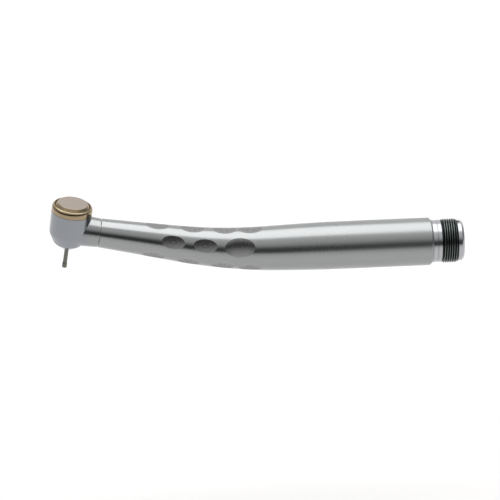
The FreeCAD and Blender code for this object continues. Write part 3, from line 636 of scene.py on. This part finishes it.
place = add(winding, "ShaderNodeCombineXYZ", links={
    "X": sum_of(winding, "MULTIPLY", held, -MM),
    "Y": sum_of(winding, "MULTIPLY", reach, sum_of(winding, "COSINE", turn)),
    "Z": sum_of(winding, "MULTIPLY", reach, sum_of(winding, "SINE", turn))})
marked = add(winding, "GeometryNodeStoreNamedAttribute", {"data_type": "FLOAT", "domain": "POINT"},
             {"Name": "ridge"}, {"Geometry": grid.outputs["Mesh"], "Value": height})
wrapped = add(winding, "GeometryNodeSetPosition", links={"Geometry": marked.outputs["Geometry"],
                                                         "Position": place.outputs["Vector"]})
closed = add(winding, "GeometryNodeMergeByDistance", values={"Distance": 1e-6},
             links={"Geometry": wrapped.outputs["Geometry"]})
whole = add(winding, "GeometryNodeRealizeInstances", links={"Geometry": closed.outputs["Geometry"]})
coat = add(winding, "GeometryNodeSetMaterial", links={"Geometry": whole.outputs["Geometry"],
                                                      "Material": given.outputs["Finish"]})
winding.links.new(coat.outputs["Geometry"], result.inputs["Geometry"])
carrier = bpy.data.objects.new("thread_carrier", bpy.data.meshes.new("thread_carrier"))
scene.collection.objects.link(carrier)
thread_mesh = grow(carrier, winding, {**THREAD, "Rows": rows, "Around": AROUND + 1, "Finish": thread_steel})
bpy.data.objects.remove(carrier)
print("thread faces", len(thread_mesh.polygons))

# %% [markdown]
# ## The threaded ring and the bright collar
# The thread sits on a turned ring with a plain rim, and that rim has a small blind hole, perhaps for a
# spanner. The hole is really cut away, so it looks right from every side. The collar in front carries one
# fine turned groove.

# %% The ring that carries the thread, its rim and socket
coupling = spun("coupling_ring_turned", rounded([
    (4.6, 0, 0.08), (5.1, 0, 0.08), (5.65, -0.6, 0.2), (5.65, -1.6, 0.02), (5.72, -1.6, 0), (5.72, -6.0, 0),
    (5.3, -6.0, 0), (5.3, -8.6, 0), (4.8, -8.6, 0), (4.8, -14, 0), (4.2, -14, 0), (4.2, -4.8, 0),
    (4.6, -4.8, 0.05)], 0.03), REAR_PLACE, bright_chrome)
NOTCH_RADIUS, NOTCH_FROM_REAR, NOTCH_FLOOR = 0.4, 1.36, 4.95
drill = spun("notch_drill", [(0, NOTCH_FLOOR), (NOTCH_RADIUS, NOTCH_FLOOR), (NOTCH_RADIUS, 8), (0, 8)],
             Matrix.Translation((-NOTCH_FROM_REAR, 0, 0)), bright_chrome, 48)
bore_out = coupling.modifiers.new("notch", "BOOLEAN")
bore_out.operation, bore_out.solver, bore_out.object = "DIFFERENCE", "MANIFOLD", drill
bpy.context.view_layer.update()
drilled = bpy.data.meshes.new_from_object(coupling.evaluated_get(bpy.context.evaluated_depsgraph_get()))
coupling.modifiers.remove(bore_out)
bpy.data.objects.remove(drill)
drilled.materials.clear()
drilled.materials.append(bright_chrome)
drilled.polygons.foreach_set("material_index", [0] * len(drilled.polygons))
drilled.set_sharp_from_angle(angle=math.radians(CRISP))
print("coupling faces before and after the notch", len(coupling.data.polygons), len(drilled.polygons))
coupling.data = drilled
joined = bmesh.new()
joined.from_mesh(coupling.data)
threaded = bmesh.new()
threaded.from_mesh(thread_mesh)
bmesh.ops.recalc_face_normals(threaded, faces=threaded.faces)
threaded.to_mesh(thread_mesh)
threaded.free()
joined.from_mesh(thread_mesh)
old_faces = len(coupling.data.polygons)
joined.faces.ensure_lookup_table()
for face in joined.faces[old_faces:]:
    face.material_index = 1
    face.smooth = True
joined.to_mesh(coupling.data)
joined.free()
coupling.data.materials.append(thread_steel)
stands_for(coupling, "body", "thread_steel", "coupling_ring")
collar = spun("turned_collar", rounded([
    (5.32, -6.05), (5.7, -6.05), (5.85, -6.2), (5.85, -7.15), (5.73, -7.25), (5.85, -7.35), (5.85, -8.55),
    (5.32, -8.55)], 0.03), REAR_PLACE, bright_chrome)
stands_for(collar, "body", "bright_chrome", "rear_collar")

# %% [markdown]
# ## Finishes of the pieces kept from the measured model
# The inner pieces keep their measured meshes. Each only needs its own finish.

# %% Assign finishes to kept nodes
FINISHES = {
    head_chrome: ["head_housing"],
    ground_steel: ["cap_base", "spindle", "chuck_collet", "chuck_pusher", "upper_outer_ring",
                   "upper_inner_ring", "lower_outer_ring", "lower_inner_ring", "dust_shield",
                   "drive_air_tube", "water_tube"],
    spring_steel: ["preload_washer"],
    wheel_alloy: ["turbine_wheel"],
    cage_polymer: ["upper_ball_cage", "lower_ball_cage"],
    seal_rubber: ["upper_o_ring", "lower_o_ring"],
    plated_brass: ["connector_core"],
}
for finish, names in FINISHES.items():
    for name in names:
        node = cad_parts[name]
        node.data.materials.clear()
        node.data.materials.append(finish)
print("finished nodes", sum(len(names) for names in FINISHES.values()))

# %% [markdown]
# ## Table and light
# Polished metal has almost no colour of its own: it shows the room. A plain white table well below gives the
# grey underside, a wide soft box overhead gives the bright band, and a dark gap in the white tent, level with
# the tool and on the camera's side, gives the dark stripe that makes it read as metal. The table is one even
# colour all over. It grows dimmer away from the tool only because the soft box is close.

# %% Table
FLOOR_LEVEL, FLOOR_REACH = -0.09, 6.0
floor_mesh = bpy.data.meshes.new("table")
floor_mesh.from_pydata(
    [(x * FLOOR_REACH, y * FLOOR_REACH, FLOOR_LEVEL) for x, y in ((-1, -1), (1, -1), (1, 1), (-1, 1))],
    [], [(0, 1, 2, 3)])
floor = bpy.data.objects.new("table", floor_mesh)
scene.collection.objects.link(floor)
paper = bpy.data.materials.new("white_table_paper")
paper.use_nodes = True
sheet = paper.node_tree
matt = sheet.nodes["Principled BSDF"]
matt.inputs["Roughness"].default_value = 0.9
matt.inputs["Specular IOR Level"].default_value = 0.1
where = add(sheet, "ShaderNodeTexCoord")
fibre = add(sheet, "ShaderNodeTexNoise", values={"Scale": 900.0}, links={"Vector": where.outputs["Object"]})
pulp = add(sheet, "ShaderNodeMix", {"data_type": "RGBA"}, {"A": linear("#F2F1F0"), "B": linear("#EFEEED")},
           {"Factor": fibre.outputs["Fac"]})
sheet.links.new(pulp.outputs["Result"], matt.inputs["Base Color"])
floor_mesh.materials.append(paper)

# %% Soft box
BOX_HEIGHT, BOX_LENGTH, BOX_DEPTH, BOX_MIDDLE = 0.9, 1.6, 1.0, 0.3
BOX_GLOW = 1.25
lamp = bpy.data.lights.new("soft_box", "AREA")
lamp.shape = "RECTANGLE"
lamp.size = BOX_LENGTH
lamp.size_y = BOX_DEPTH
lamp.energy = 4 * BOX_GLOW * BOX_LENGTH * BOX_DEPTH
soft_box = bpy.data.objects.new("soft_box", lamp)
soft_box.location = (TARGET.x, BOX_MIDDLE, BOX_HEIGHT)
scene.collection.objects.link(soft_box)
print("soft box", round(lamp.energy, 2), "W")

# %% Light tent as the world
world = bpy.data.worlds.new("light_tent")
scene.world = world
world.use_nodes = True
sky = world.node_tree
sky.nodes.clear()
ways = add(sky, "ShaderNodeTexCoord")
split = add(sky, "ShaderNodeSeparateXYZ", links={"Vector": ways.outputs["Generated"]})
toward = add(sky, "ShaderNodeMath", {"operation": "MULTIPLY"}, {1: -1.0}, {0: split.outputs["Y"]})
climb = add(sky, "ShaderNodeMath", {"operation": "ARCTAN2"},
            links={0: split.outputs["Z"], 1: toward.outputs[0]})
share = add(sky, "ShaderNodeMapRange", values={"From Min": -math.pi, "From Max": math.pi},
            links={"Value": climb.outputs[0]})
ramp = add(sky, "ShaderNodeValToRGB", links={"Fac": share.outputs["Result"]})
TENT = [(-170, 1.0), (-5, 0.035), (19, 0.035), (25, 0.12), (33, 0.42), (43, 0.66), (65, 0.82), (90, 0.9),
        (140, 0.95), (178, 1.0)]
band = ramp.color_ramp
while len(band.elements) < len(TENT):
    band.elements.new(0.5)
for element, (degrees, level) in zip(band.elements, TENT):
    element.position = (degrees + 180) / 360
    element.color = (level / 4, level / 4, level / 4, 1)
sideways = add(sky, "ShaderNodeMath", {"operation": "ABSOLUTE"}, links={0: split.outputs["X"]})
ends = add(sky, "ShaderNodeMapRange",
           values={"From Min": 0.5, "From Max": 0.95, "To Min": 0.0, "To Max": 0.75},
           links={"Value": sideways.outputs[0]})
room = add(sky, "ShaderNodeMix", {"data_type": "RGBA", "blend_type": "MULTIPLY"}, {"B": linear("#5C6470")},
           {"Factor": ends.outputs["Result"], "A": ramp.outputs["Color"]})
glow = add(sky, "ShaderNodeBackground", values={"Strength": 4.0}, links={"Color": room.outputs["Result"]})
add(sky, "ShaderNodeOutputWorld", links={"Surface": glow.outputs["Background"]})
scene.view_settings.view_transform = "Standard"
